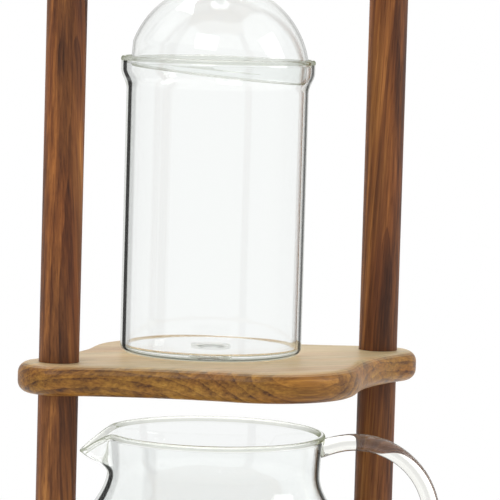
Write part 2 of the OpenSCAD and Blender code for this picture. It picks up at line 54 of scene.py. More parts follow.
# sizes that the solids have too
GLASS_Y = 14.0          # glass axis behind the line of the posts
VESSEL_R, VESSEL_H, VESSEL_WALL, VESSEL_FLOOR = 50.0, 162.5, 3.0, 3.5
VESSEL_FOOT_R = 4.0
FLARE, FLARE_DEPTH, SHOULDER_DEPTH, BEAD_R = 3.2, 7.0, 18.0, 1.7
DRAIN_R, DRAIN_BORE_R = 10.0, 7.5
LID_R, SKIRT_H, DOME_R, LID_WALL = 48.2, 13.5, 50.0, 2.5
COLLAR_R, COLLAR_H, LID_GAP = 11.0, 10.0, 0.2
LID_TILT, LID_LEAN = math.radians(4.7), math.radians(-30)
CARAFE_X, CARAFE_H, CARAFE_WALL, CARAFE_FLOOR = 4.0, 145.0, 2.6, 4.0
FOOT_DISC_R, BELLY_R, BELLY_Z, NECK_R, NECK_DEPTH, RIM_R = 50.0, 76.0, 81.0, 59.0, 23.0, 61.0
LIP_REACH, LIP_DROP, LIP_DEPTH, LIP_HALF_W = 74.5, 12.0, 24.0, 26.0
LIP_GLASS = 18.0        # how far below the rim the lip's clearer glass reaches
HANDLE_TURN = math.radians(-28)
LIP_COS, LIP_SIN = math.cos(HANDLE_TURN + math.pi), math.sin(HANDLE_TURN + math.pi)
ROD_R, BEND_R, BEND_REACH, BEND_TOP = 4.8, 43.0, 79.0, 4.5

MIDDLE_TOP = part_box("middle_shelf")[1].z / MM
TOP_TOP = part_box("top_shelf")[1].z / MM
BASE_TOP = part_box("base_board")[1].z / MM
DRAIN_DROP = MIDDLE_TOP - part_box("coffee_chamber")[0].z / MM
POST_X = (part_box("right_post")[0].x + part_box("right_post")[1].x) / 2


# ------------------------------------------------------------------ meshes

def arc(cx, cz, r, a0, a1, steps):
    """Points of an arc from a0 to a1 degrees, with the ends."""
    return [(cx + r * math.cos(math.radians(a0 + (a1 - a0) * i / steps)),
             cz + r * math.sin(math.radians(a0 + (a1 - a0) * i / steps)))
            for i in range(steps + 1)]


def s_curve(ra, za, rb, zb, steps=20):
    """Points of half a wave from one radius to another, with the ends."""
    return [(ra + (rb - ra) * (1 - math.cos(math.pi * i / steps)) / 2, za + (zb - za) * i / steps)
            for i in range(steps + 1)]


def line(ra, za, rb, zb, steps):
    """Points between two ends, without the ends."""
    return [(ra + (rb - ra) * i / steps, za + (zb - za) * i / steps) for i in range(1, steps)]


def lathe(name, profile, looks, sides=192, move=None, bead=lambda r, z: False):
    """A closed profile of (radius, height) turned about the axis. move shifts each point, and the
    faces whose profile points are part of a bead get the second of the looks."""
    verts, faces, slots, rows = [], [], [], []
    for r, z in profile:
        if r < 1e-6:
            rows.append([len(verts)] * sides)
            verts.append((0.0, 0.0, z))
        else:
            rows.append(list(range(len(verts), len(verts) + sides)))
            for k in range(sides):
                t = 2 * math.pi * k / sides
                p = (r * math.cos(t), r * math.sin(t), z)
                verts.append(move(*p) if move else p)
    n = len(profile)
    for i in range(n):
        a, b = rows[i], rows[(i + 1) % n]
        slot = int(bead(*profile[i]) and bead(*profile[(i + 1) % n]))
        for k in range(sides):
            m = (k + 1) % sides
            ring = [a[k], a[m], b[m], b[k]]
            ring = [v for j, v in enumerate(ring) if v not in ring[:j]]
            if len(ring) > 2:
                faces.append(ring)
                slots.append(slot)
    obj = new_mesh(name, verts, faces)
    for look in looks:
        obj.data.materials.append(look)
    obj.data.polygons.foreach_set("material_index", slots)
    return obj


def new_mesh(name, verts, faces):
    mesh = bpy.data.meshes.new(name)
    mesh.from_pydata([tuple(c * MM for c in v) for v in verts], [], faces)
    mesh.update()
    mesh.shade_smooth()
    obj = bpy.data.objects.new(name, mesh)
    bpy.context.scene.collection.objects.link(obj)
    return obj


def vessel_profile():
    """The straight glass from the tip of its drain spout, up its outer side and down its inner."""
    mouth = VESSEL_R + FLARE
    foot_in = 1.4                 # radius of the corner between the wall and the floor inside
    body_in = VESSEL_R - VESSEL_WALL
    low = -DRAIN_DROP
    tip = 0.8                     # radius of the spout's rim
    root, neck = 1.6, 0.4         # how the spout runs into the floor, inside and outside
    rest_w, hollow = 2.0, 0.25    # it rests on a ring, with a thin gap of air within
    ring_r = VESSEL_R - VESSEL_FOOT_R - rest_w
    pts = arc(DRAIN_BORE_R + tip, low + tip, tip, 180, 270, 4)
    pts += arc(DRAIN_R - tip, low + tip, tip, 270, 360, 4)
    pts += line(DRAIN_R, low + tip, DRAIN_R, -neck, 8)
    pts += [(DRAIN_R, -neck), (DRAIN_R + neck, hollow)]
    pts += line(DRAIN_R + neck, hollow, ring_r, hollow, 10) + [(ring_r, hollow)]
    pts += arc(VESSEL_R - VESSEL_FOOT_R, VESSEL_FOOT_R, VESSEL_FOOT_R, -90, 0, 12)
    pts += line(VESSEL_R, VESSEL_FOOT_R, VESSEL_R, VESSEL_H - SHOULDER_DEPTH, 24)
    pts += s_curve(VESSEL_R, VESSEL_H - SHOULDER_DEPTH, mouth, VESSEL_H - FLARE_DEPTH)
    pts += line(mouth, VESSEL_H - FLARE_DEPTH, mouth, VESSEL_H - BEAD_R - UNDER_BEAD, 4)
    pts += arc(mouth - VESSEL_WALL / 2, VESSEL_H - BEAD_R, BEAD_R, -30, 210, 20)
    pts += line(mouth - VESSEL_WALL, VESSEL_H - BEAD_R - UNDER_BEAD,
                mouth - VESSEL_WALL, VESSEL_H - FLARE_DEPTH, 4)
    pts += s_curve(mouth - VESSEL_WALL, VESSEL_H - FLARE_DEPTH, body_in, VESSEL_H - SHOULDER_DEPTH)
    pts += line(body_in, VESSEL_H - SHOULDER_DEPTH, body_in, VESSEL_FLOOR + foot_in, 24)
    pts += arc(body_in - foot_in, VESSEL_FLOOR + foot_in, foot_in, 0, -90, 10)
    pts += line(body_in - foot_in, VESSEL_FLOOR, DRAIN_BORE_R + root, VESSEL_FLOOR, 8)
    pts += arc(DRAIN_BORE_R + root, VESSEL_FLOOR - root, root, 90, 180, 5)
    pts += line(DRAIN_BORE_R, VESSEL_FLOOR - root, DRAIN_BORE_R, low + tip, 8)
    return pts


def lid_height():
    """From the skirt's edge to the collar's top."""
    return SKIRT_H - math.sqrt(DOME_R ** 2 - LID_R ** 2) + DOME_R + COLLAR_H


def lid_profile():
    """The domed lid from its skirt's edge, up outside to its collar and down inside."""
    dome_z = SKIRT_H - math.sqrt(DOME_R ** 2 - LID_R ** 2)
    lid_h = lid_height()
    dome_in, skirt_in, lip = DOME_R - LID_WALL, LID_R - LID_WALL, LID_WALL / 2
    fillet, rise = 2.5, 4         # how wide and how high the dome curves up into the collar
    eave = 1.2                    # the same inside, all the way round the bore
    bore = COLLAR_R - LID_WALL
    out_from = math.degrees(math.asin((SKIRT_H - dome_z) / DOME_R))
    out_to = math.degrees(math.acos((COLLAR_R + fillet) / DOME_R))
    in_from = math.degrees(math.acos((bore + eave) / dome_in))
    in_to = math.degrees(math.acos(skirt_in / dome_in))
    collar_z = dome_z + DOME_R * math.sin(math.radians(out_to))
    in_z = dome_z + dome_in * math.sin(math.radians(in_from))
    pts = arc(LID_R - lip, lip, lip, 180, 360, 12)
    pts += line(LID_R, lip, LID_R, SKIRT_H - 0.5, 5)
    pts += arc(0, dome_z, DOME_R, out_from, out_to, 34)
    steps, bulge = 8, 1.4
    for i in range(1, steps):
        u = i / steps
        pts.append((COLLAR_R + fillet * (1 - u) ** 2, collar_z + bulge * u * (1 - u) + rise * u * u))
    pts += [(COLLAR_R, collar_z + rise)] + line(COLLAR_R, collar_z + rise, COLLAR_R, lid_h - lip, 3)
    pts += arc(COLLAR_R - lip, lid_h - lip, lip, 0, 180, 12)
    pts += line(bore, lid_h - lip, bore, in_z + 1.6, 4)
    pts += [(bore, in_z + 1.6), (bore + 0.2, in_z + 0.7), (bore + 0.6, in_z + 0.2)]
    pts += arc(0, dome_z, dome_in, in_from, in_to, 34)
    pts += line(skirt_in, dome_z + dome_in * math.sin(math.radians(in_to)), skirt_in, lip, 5)
    return pts


def seat_depth(r):
    """How far below the rim a flared mouth is as narrow as r."""
    body_in = VESSEL_R - VESSEL_WALL
    shoulder = SHOULDER_DEPTH - FLARE_DEPTH
    return SHOULDER_DEPTH - shoulder * math.acos(1 - 2 * (r - body_in) / FLARE) / math.pi


def carafe_radius(z, inset, floor_z):
    """The wall's radius at a height: foot, belly, neck and the slight flare to the rim."""
    neck_z = CARAFE_H - NECK_DEPTH
    foot = FOOT_DISC_R - inset / 2
    if z <= BELLY_Z:
        c = 1 - (z - floor_z) / (BELLY_Z - floor_z)
        return foot + (BELLY_R - inset - foot) * math.sqrt(max(0.0, 1 - c * c))
    if z <= neck_z:
        u = (z - BELLY_Z) / (neck_z - BELLY_Z)
        return BELLY_R - inset + (NECK_R - BELLY_R) * (1 - math.cos(math.pi * u)) / 2
    u = (z - neck_z) / (NECK_DEPTH - BEAD_R)
    return NECK_R - inset + (RIM_R - NECK_R) * u * u


def carafe_profile():
    """The jug before its lip is drawn out, from the middle of its foot, up outside and down inside."""
    top = CARAFE_H - BEAD_R
    neck_end = top - UNDER_BEAD
    low_steps, steps = 25, 44
    # the underside is a shallow hollow
    pts = [(0.0, 1.2), (FOOT_DISC_R * 0.5, 1.0), (FOOT_DISC_R * 0.8, 0.5), (FOOT_DISC_R - 5, 0.1)]
    # the foot turns into the belly along a quarter of a curve
    for i in range(low_steps + 1):
        t = math.radians(90 * i / low_steps)
        pts.append((FOOT_DISC_R + (BELLY_R - FOOT_DISC_R) * math.sin(t),
                    BELLY_Z * (1 - math.cos(t))))
    for i in range(1, steps + 1):
        z = BELLY_Z + (neck_end - BELLY_Z) * i / steps
        pts.append((carafe_radius(z, 0, 0), z))
    pts += arc(RIM_R - CARAFE_WALL / 2, top, BEAD_R, -20, 200, 18)
    for i in range(steps + 1):
        z = neck_end + (BELLY_Z - neck_end) * i / steps
        pts.append((carafe_radius(z, CARAFE_WALL, CARAFE_FLOOR), z))
    foot_in = FOOT_DISC_R - CARAFE_WALL / 2
    for i in range(1, low_steps + 1):
        t = math.radians(90 - 90 * i / low_steps)
        pts.append((foot_in + (BELLY_R - CARAFE_WALL - foot_in) * math.sin(t),
                    CARAFE_FLOOR + (BELLY_Z - CARAFE_FLOOR) * (1 - math.cos(t))))
    # the floor rises a little to its middle
    pts += [(foot_in - 6, CARAFE_FLOOR - 0.1), (foot_in * 0.5, CARAFE_FLOOR + 0.4),
            (0.0, CARAFE_FLOOR + 0.6)]
    return pts


def lip_pull(u, v):
    """How strongly the lip is drawn out at u towards it and v beside it, 0 to 1."""
    if u <= 0 or abs(v) >= LIP_HALF_W:
        return 0.0
    return ((1 + math.cos(math.pi * v / LIP_HALF_W)) / 2) ** 1.5


def to_lip(x, y):
    """A point as its distance towards the lip and beside it."""
    return x * LIP_COS + y * LIP_SIN, -x * LIP_SIN + y * LIP_COS


def pull_lip(x, y, z):
    """Draws the rim opposite the handle out and down into a pouring lip."""
    u, v = to_lip(x, y)
    w = lip_pull(u, v)
    if w:
        depth = CARAFE_H - z
        f = max(0.0, 1 - depth / LIP_DEPTH)
        f = f * f * (3 - 2 * f) * 0.5 + f * 0.5
        u += (LIP_REACH - RIM_R) * w * f
        z -= LIP_DROP * w * f
    return (u * LIP_COS - v * LIP_SIN, u * LIP_SIN + v * LIP_COS, z)


def handle_path():
    """(distance from the axis, height) along the rod, from the neck round the bend to the belly."""
    bend_z = CARAFE_H - BEND_TOP - BEND_R
    low = bend_z - BEND_R
    sunk = 0.4                    # how deep the rod's end lies in the neck's wall
    past_top = math.degrees(math.asin((BEND_REACH - NECK_R + sunk) / BEND_R))
    low_root = carafe_radius(low, 0, 0) - CARAFE_WALL / 2
    pts = arc(BEND_REACH, bend_z, BEND_R, 90 + past_top, -90, 76)
    return pts + line(BEND_REACH, low, low_root, low, 5) + [(low_root, low)]


def handle_mesh(name, sides=40):
    """A bent rod that swells at both ends, where it is melted into the wall."""
    melt = 1.6                    # how suddenly a swelling ends
    neck_run, neck_swell, neck_lift = 4.2, 1.0, 1.2
    root_run, root_swell = 4.0, 2.4
    path = handle_path()
    length = [0.0]
    for a, b in zip(path, path[1:]):
        length.append(length[-1] + math.dist(a, b))
    verts, faces = [], []
    for i, (u, z) in enumerate(path):
        a, b = path[max(i - 1, 0)], path[min(i + 1, len(path) - 1)]
        d = math.dist(a, b)
        nx, nz = -(b[1] - a[1]) / d, (b[0] - a[0]) / d
        near = math.exp(-(length[i] / neck_run) ** melt)
        far = math.exp(-((length[-1] - length[i]) / root_run) ** melt)
        nx, nz = nx * (1 - near), nz + (1 - nz) * near
        z += neck_lift * near
        r = ROD_R + neck_swell * near + root_swell * far
        for k in range(sides):
            t = 2 * math.pi * k / sides
            du, dv = r * math.cos(t), r * math.sin(t)
            pu, pz = u + nx * du, z + nz * du
            verts.append((pu * math.cos(HANDLE_TURN) - dv * math.sin(HANDLE_TURN),
                          pu * math.sin(HANDLE_TURN) + dv * math.cos(HANDLE_TURN), pz))
    n = len(path)
    for i in range(n - 1):
        for k in range(sides):
            m = (k + 1) % sides
            faces.append([i * sides + k, (i + 1) * sides + k, (i + 1) * sides + m, i * sides + m])
    faces.append(list(range(sides)))
    faces.append([(n - 1) * sides + k for k in reversed(range(sides))])
    return new_mesh(name, verts, faces)


def outward(obj):
    """Turns every face of a closed mesh to point out of the body."""
    import bmesh
    bm = bmesh.new()
    bm.from_mesh(obj.data)
    bmesh.ops.recalc_face_normals(bm, faces=bm.faces)
    bm.to_mesh(obj.data)
    bm.free()


def weld(obj, other):
    """Joins other into obj as one closed body."""
    mod = obj.modifiers.new("weld", "BOOLEAN")
    mod.operation, mod.solver, mod.object = "UNION", "EXACT", other
    mod.material_mode = "TRANSFER"
    bpy.context.view_layer.update()
    graph = bpy.context.evaluated_depsgraph_get()
    mesh = bpy.data.meshes.new_from_object(obj.evaluated_get(graph))
    obj.modifiers.clear()
    obj.data = mesh
    mesh.shade_smooth()
    bpy.data.objects.remove(other)


# ------------------------------------------------------------------ node helpers

def material(name):
    mat = bpy.data.materials.new(name)
    mat.use_nodes = True
    mat.node_tree.nodes.clear()
    return mat, mat.node_tree


def add(nt, kind, inputs=None, **props):
    """A node with its properties set; an input takes a number, a colour or another node's socket."""
    node = nt.nodes.new("ShaderNode" + kind)
    for key, value in props.items():
        setattr(node, key, value)
    for key, value in (inputs or {}).items():
        socket = node.inputs[key]
        if isinstance(value, bpy.types.NodeSocket):
            nt.links.new(value, socket)
        else:
            socket.default_value = value
    return node


def calc(nt, op, a, b=0.0, c=0.0, clamp=False):
    return add(nt, "Math", {0: a, 1: b, 2: c}, operation=op, use_clamp=clamp).outputs[0]


def rgb(r, g, b):
    """A colour written as it looks on a screen, 0 to 255."""
    def lin(c):
        c /= 255
        return c / 12.92 if c <= 0.04045 else ((c + 0.055) / 1.055) ** 2.4
    return (lin(r), lin(g), lin(b), 1.0)


def ramp(nt, fac, stops, interpolation="LINEAR"):
    node = add(nt, "ValToRGB", {0: fac})
    cr = node.color_ramp
    cr.interpolation = interpolation
    while len(cr.elements) < len(stops):
        cr.elements.new(1.0)
    for el, (pos, col) in zip(cr.elements, stops):
        el.position = pos
        el.color = col if len(col) == 4 else (*col, 1.0)
    return node.outputs[0]


def grey(v):
    return (v, v, v, 1.0)


def mix(nt, fac, a, b, blend="MIX"):
    node = add(nt, "Mix", {0: fac, 6: a, 7: b}, data_type="RGBA", blend_type=blend)
    return node.outputs[2]


def noise(nt, vector, scale, detail=3.0, rough=0.55, distort=0.0):
    return add(nt, "TexNoise", {"Vector": vector, "Scale": scale, "Detail": detail,
                                "Roughness": rough, "Distortion": distort}).outputs[0]


def stretched(nt, vector, scale, offset=(0, 0, 0)):
    return add(nt, "Mapping", {"Vector": vector, "Location": offset, "Scale": scale}).outputs[0]


def object_coords(nt):
    return add(nt, "TexCoord").outputs["Object"]


def finish_material(nt, shader):
    out = nt.nodes.new("ShaderNodeOutputMaterial")
    nt.links.new(shader, out.inputs["Surface"])


def principled(nt, inputs):
    return add(nt, "BsdfPrincipled", inputs)


# ------------------------------------------------------------------ materials

def wood(name, along, centre, lean, pitch, wander, stops, streak, sheen, seed, band=None,
         painted_top_light=None):
    """Long-grained wood. along is the axis of the grain (0 or 2), centre the place of the tree's
    heart beside it, lean how the heart drifts along the grain, pitch the width of a year ring and
    wander how far the rings stray. streak weighs the year rings, broad cloud, stripes, fine grain
    and the base tone; sheen is the roughness and the specular level. band is a dark streak: its
    direction, place and half width. The last argument is a painted top light: the paler colour
    given to faces that are turned upwards, for the light from above and the sheen on them."""
    mat, nt = material(name)
    co = object_coords(nt)
    xyz = add(nt, "SeparateXYZ", {0: co}).outputs
    across = [i for i in (0, 1, 2) if i != along]

    def grain(fine, coarse, detail, rough=0.55, swap=False):
        scale = [fine] * 3
        scale[along] = coarse
        offset = (seed[1], seed[2], seed[0]) if swap else seed
        return noise(nt, stretched(nt, slanted, scale, offset), 1.0, detail, rough)

    def drift(i):
        moved = calc(nt, "MULTIPLY_ADD", xyz[along], lean[i], xyz[across[i]])
        return calc(nt, "SUBTRACT", moved, centre[i])

    # the grain leans a little against the axis
    slant = add(nt, "CombineXYZ")
    for axis in (0, 1, 2):
        turned = xyz[axis]
        if axis != along:
            turned = calc(nt, "MULTIPLY_ADD", xyz[along], lean[across.index(axis)], turned)
        nt.links.new(turned, slant.inputs[axis])
    slanted = slant.outputs[0]
    u, v = drift(0), drift(1)
    warp = grain(60.0, 9.0, 2.5, 0.5)
    ripple = grain(240.0, 26.0, 3.0, 0.6)
    r = calc(nt, "SQRT", calc(nt, "ADD", calc(nt, "MULTIPLY", u, u), calc(nt, "MULTIPLY", v, v)))
    r = calc(nt, "MULTIPLY_ADD", calc(nt, "SUBTRACT", warp, 0.5), wander, r)
    r = calc(nt, "MULTIPLY_ADD", calc(nt, "SUBTRACT", ripple, 0.5), wander * 0.16, r)
    ring = calc(nt, "FRACT", calc(nt, "DIVIDE", r, pitch))
    late = ramp(nt, ring, [(0.0, grey(0.15)), (0.55, grey(0.45)), (0.86, grey(0.85)),
                           (0.97, grey(1.0)), (1.0, grey(0.15))])
    fine = grain(950.0, 22.0, 3.0, 0.65)
    tone = calc(nt, "MULTIPLY_ADD", calc(nt, "SUBTRACT", 1.0, late), streak[0], streak[4])
    layers = (grain(34.0, 4.5, 2.0), grain(300.0, 7.0, 2.5), fine)
    for layer, weight in zip(layers, streak[1:4]):
        tone = calc(nt, "MULTIPLY_ADD", calc(nt, "SUBTRACT", layer, 0.5), weight, tone)
    if band:
        # how far a point lies from the dark streak, seen from the front
        toward, at, half = band
        off = add(nt, "VectorMath", {0: co, 1: toward}, operation="DOT_PRODUCT").outputs["Value"]
        off = calc(nt, "MULTIPLY_ADD", calc(nt, "SUBTRACT", warp, 0.5), wander, off)
        off = calc(nt, "DIVIDE", calc(nt, "ABSOLUTE", calc(nt, "SUBTRACT", off, at)), half)
        tone = calc(nt, "SUBTRACT", tone, ramp(nt, off, [(0.0, grey(0.32)), (1.0, grey(0.0))]))
    colour = ramp(nt, tone, stops)
    # painted top light: upward faces get a paler colour, standing in for the light from above and the
    # sheen on them
    if painted_top_light:
        up = add(nt, "SeparateXYZ", {0: add(nt, "TexCoord").outputs["Normal"]}).outputs[2]
        up = ramp(nt, up, [(0.72, grey(0.0)), (0.97, grey(0.72))])
        up = calc(nt, "MULTIPLY", up, ramp(nt, layers[0], [(0.35, grey(0.62)), (0.62, grey(1.0))]))
        colour = mix(nt, up, colour, painted_top_light)
    # short dark pores along the grain
    pore = ramp(nt, grain(1500.0, 55.0, 2.0), [(0.58, grey(0.0)), (0.70, grey(1.0))])
    colour = mix(nt, calc(nt, "MULTIPLY", pore, 0.5), colour,
                 mix(nt, 1.0, colour, grey(0.35), "MULTIPLY"))
    # a reddish cast that comes and goes
    cast = ramp(nt, grain(58.0, 7.7, 2.0, swap=True), [(0.42, grey(0.0)), (0.66, grey(1.0))])
    colour = mix(nt, calc(nt, "MULTIPLY", cast, 0.4), colour,
                 mix(nt, 1.0, colour, (1.12, 0.80, 0.72, 1.0), "MULTIPLY"))
    rough = calc(nt, "MULTIPLY_ADD", fine, 0.16, sheen[0])
    rough = calc(nt, "MULTIPLY_ADD", pore, 0.15, rough)
    height = calc(nt, "SUBTRACT", calc(nt, "MULTIPLY", fine, 0.6), calc(nt, "MULTIPLY", pore, 0.8))
    bump = add(nt, "Bump", {"Strength": 0.25, "Distance": 0.00025, "Height": height})
    shader = principled(nt, {"Base Color": colour, "Roughness": rough, "Normal": bump.outputs[0],
                             "Specular IOR Level": sheen[1]})
    finish_material(nt, shader.outputs[0])
    return mat


def glass(name, tint, bands, plain_side, wall, dark=(0.02, 0.02, 0.02, 1.0)):
    """Clear glass that greys a little with each pass. Its outer skin gets painted dark edges, a
    painted reflection of a dark room, where it is seen edge-on: bands are the stops of that painted
    darkening over the facing, plain_side those of the side towards the key light, painted less dark,
    and dark its colour. wall, where there is one, is how much a face has to point away from the
    vessel's axis for that, from none to full."""
    mat, nt = material(name)
    co = add(nt, "TexCoord").outputs
    ripple = noise(nt, stretched(nt, co["Object"], (14.0, 14.0, 5.0)), 1.0, 1.5, 0.4)
    bump = add(nt, "Bump", {"Strength": 0.02, "Distance": 0.001, "Height": ripple})
    body = principled(nt, {"Base Color": tint, "Roughness": 0.0, "IOR": 1.47,
                           "Transmission Weight": 1.0, "Normal": bump.outputs[0]})
    facing = add(nt, "LayerWeight", {"Blend": 0.5}).outputs["Facing"]
    geometry = add(nt, "NewGeometry").outputs
    # painted shade: faces turned away from the key light get the darker stops of the painted edges
    side = add(nt, "VectorMath", {0: geometry["Normal"], 1: SHADE_SIDE}, operation="DOT_PRODUCT")
    side = calc(nt, "MULTIPLY_ADD", side.outputs["Value"], 0.5, 0.5)
    side = ramp(nt, side, [(0.45, grey(0.0)), (0.80, grey(1.0))])
    edge = mix(nt, side, ramp(nt, facing, plain_side), ramp(nt, facing, bands))
    skin = calc(nt, "SUBTRACT", 1.0, geometry["Backfacing"])
    if wall:
        axis = add(nt, "VectorMath", {0: co["Object"], 1: (0.0, GLASS_Y * MM, 0.0)}, operation="SUBTRACT")
        out = add(nt, "VectorMath", {0: axis.outputs[0], 1: (1.0, 1.0, 0.0)}, operation="MULTIPLY")
        out = add(nt, "VectorMath", {0: out.outputs[0]}, operation="NORMALIZE")
        out = add(nt, "VectorMath", {0: out.outputs[0], 1: co["Normal"]}, operation="DOT_PRODUCT")
        out = ramp(nt, out.outputs["Value"], [(wall[0], grey(0.0)), (wall[1], grey(1.0))])
        skin = calc(nt, "MULTIPLY", skin, out)
    edge = calc(nt, "MULTIPLY", edge, skin)
    # the painted dark edge itself: a dark see-through shader that stands in for the room mirrored in the
    # glass
    painted_edge_shader = add(nt, "BsdfTransparent", {"Color": dark})
    seen = add(nt, "MixShader", {0: edge, 1: body.outputs[0], 2: painted_edge_shader.outputs[0]})
    # a flat face seen at a low angle mirrors what stands behind it
    z = add(nt, "SeparateXYZ", {0: geometry["Normal"]}).outputs[2]
    flat = ramp(nt, calc(nt, "ABSOLUTE", z), [(0.90, grey(0.0)), (0.98, grey(1.0))])
    low = ramp(nt, facing, [(0.70, grey(0.0)), (0.88, grey(0.90))])
    mirror = add(nt, "BsdfAnisotropic", {"Color": grey(0.98), "Roughness": 0.02})
    seen = add(nt, "MixShader", {0: calc(nt, "MULTIPLY", flat, low), 1: seen.outputs[0],
                                 2: mirror.outputs[0]})
    clear = add(nt, "BsdfTransparent", {"Color": grey(0.95)})
    path = add(nt, "LightPath")
    lamps = add(nt, "MixShader", {0: path.outputs["Is Shadow Ray"], 1: seen.outputs[0],
                                  2: clear.outputs[0]})
    # painted glow: where a path runs along inside the glass through too many surfaces, a pale emission
    # stands in for its light instead of black
    painted_glow_mask = calc(nt, "MAXIMUM", calc(nt, "GREATER_THAN", path.outputs["Ray Depth"], 10.5),
               calc(nt, "GREATER_THAN", path.outputs["Glossy Depth"], 2.5))
    # the painted glow: an emission from the glass, which is no lamp
    pale = add(nt, "Emission", {"Color": (0.54, 0.56, 0.48, 1.0), "Strength": 1.0})
    lamps = add(nt, "MixShader", {0: painted_glow_mask, 1: lamps.outputs[0], 2: pale.outputs[0]})
    finish_material(nt, lamps.outputs[0])
    return mat


def metal(name, base, rough, axis):
    """Turned metal: fine rings around an axis, with faint smudges."""
    mat, nt = material(name)
    co = object_coords(nt)
    scale = [120.0, 120.0, 120.0]
    scale[axis] = 5200.0
    rings = noise(nt, stretched(nt, co, scale), 1.0, 2.0, 0.5)
    smudge = noise(nt, co, 160.0, 3.0, 0.6)
    r = calc(nt, "ADD", rough, calc(nt, "MULTIPLY", rings, 0.10))
    r = calc(nt, "ADD", r, calc(nt, "MULTIPLY", smudge, 0.10))
    colour = mix(nt, smudge, base, mix(nt, 1.0, base, grey(0.86), "MULTIPLY"))
    bump = add(nt, "Bump", {"Strength": 0.12, "Distance": 0.0001, "Height": rings})
    shader = principled(nt, {"Base Color": colour, "Metallic": 1.0, "Roughness": r,
                             "Normal": bump.outputs[0]})
    finish_material(nt, shader.outputs[0])
    return mat


def rubber(name, base, rough):
    mat, nt = material(name)
    co = object_coords(nt)
    grain = noise(nt, co, 1800.0, 2.0, 0.6)
    dust = noise(nt, co, 90.0, 3.0, 0.6)
    colour = mix(nt, calc(nt, "MULTIPLY", dust, 0.6), base, mix(nt, 1.0, base, grey(1.7), "MULTIPLY"))
    bump = add(nt, "Bump", {"Strength": 0.3, "Distance": 0.0001, "Height": grain})
    shader = principled(nt, {"Base Color": colour, "Normal": bump.outputs[0],
                             "Roughness": calc(nt, "ADD", rough, calc(nt, "MULTIPLY", dust, 0.2))})
    finish_material(nt, shader.outputs[0])
    return mat


def silicone(name, clear):
    """Milky silicone; clear is the share of light that passes straight through."""
    mat, nt = material(name)
    co = object_coords(nt)
    cloud = noise(nt, co, 220.0, 2.0, 0.5)
    colour = ramp(nt, cloud, [(0.3, rgb(240, 241, 239)), (0.7, rgb(249, 250, 248))])
    grain = noise(nt, co, 1500.0, 2.0, 0.6)
    bump = add(nt, "Bump", {"Strength": 0.15, "Distance": 0.0001, "Height": grain})
    shader = principled(nt, {"Base Color": colour, "Normal": bump.outputs[0], "IOR": 1.41,
                             "Roughness": calc(nt, "ADD", 0.12, calc(nt, "MULTIPLY", cloud, 0.12)),
                             "Transmission Weight": 0.92})
    through = add(nt, "BsdfTransparent", {"Color": grey(0.98)})
    both = add(nt, "MixShader", {0: clear, 1: shader.outputs[0], 2: through.outputs[0]})
    finish_material(nt, both.outputs[0])
    return mat


post_stops = [(0.0, rgb(52, 28, 14)), (0.22, rgb(82, 47, 24)), (0.48, rgb(112, 68, 34)),
              (0.75, rgb(146, 95, 48)), (1.0, rgb(178, 124, 66))]
board_stops = [(0.0, rgb(32, 15, 3)), (0.20, rgb(76, 44, 9)), (0.48, rgb(124, 84, 26)),
               (0.75, rgb(154, 111, 42)), (1.0, rgb(180, 140, 66))]
post_streak = (0.26, 1.6, 1.0, 0.8, 0.27)
left_streak = (0.26, 1.6, 1.0, 0.8, 0.33)
board_streak = (0.28, 0.7, 0.9, 0.8, 0.29)
oiled = (0.46, 0.22)
waxed = (0.34, 0.30)

left_wood = wood("walnut_left", 2, (-POST_X + 0.031, -0.022), (0.075, 0.05), 0.0050, 0.009,
                 post_stops, left_streak, oiled, (3.1, 7.7, 1.3),
                 band=((0.87, -0.49, 0.0), -POST_X * 0.87 + 0.0020, 0.0095))
right_wood = wood("walnut_right", 2, (POST_X - 0.020, -0.034), (-0.03, 0.04), 0.0044, 0.008,
                  post_stops, post_streak, oiled, (9.4, 2.6, 5.8))
lever_wood = wood("walnut_lever", 0, (0.02, 0.03), (0.05, 0.02), 0.003, 0.003,
                  post_stops, post_streak, oiled, (5.5, 5.1, 2.2))


def board_wood(name, node, seed, heart):
    low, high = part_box(node)
    # the boards' upward faces get a painted top light
    return wood(name, 0, (heart[0], (low.z + high.z) / 2 + heart[1]), (0.03, 0.012), 0.0046, 0.006,
                board_stops, board_streak, waxed, seed, painted_top_light=rgb(192, 176, 138))


glass_tint = (0.965, 0.975, 0.97, 1.0)
# stops of the glass's painted dark edges, a painted reflection of a dark room seen edge-on
wall_bands = [(0.20, grey(0.0)), (0.53, grey(0.06)), (0.57, grey(0.30)), (0.655, grey(0.34)),
              (0.67, grey(0.95)), (0.78, grey(0.95)), (0.81, grey(0.15)), (1.0, grey(0.22))]
wall_plain = [(0.20, grey(0.0)), (0.70, grey(0.05)), (0.76, grey(0.85)), (0.83, grey(0.80)),
              (0.88, grey(0.20)), (1.0, grey(0.2))]
rod_bands = [(0.0, grey(0.18)), (0.04, grey(0.15)), (0.10, grey(0.02)), (0.35, grey(0.0)),
             (0.58, grey(0.12)), (0.70, grey(0.60)), (0.84, grey(0.65)), (0.92, grey(0.25)),
             (1.0, grey(0.3))]
dome_bands = [(0.20, grey(0.0)), (0.70, grey(0.05)), (0.80, grey(0.45)), (0.86, grey(0.12)),
              (0.93, grey(0.55)), (1.0, grey(0.35))]
bead_bands = [(0.0, grey(0.32)), (0.40, grey(0.36)), (0.72, grey(0.66)), (0.90, grey(0.92)),
              (1.0, grey(0.55))]
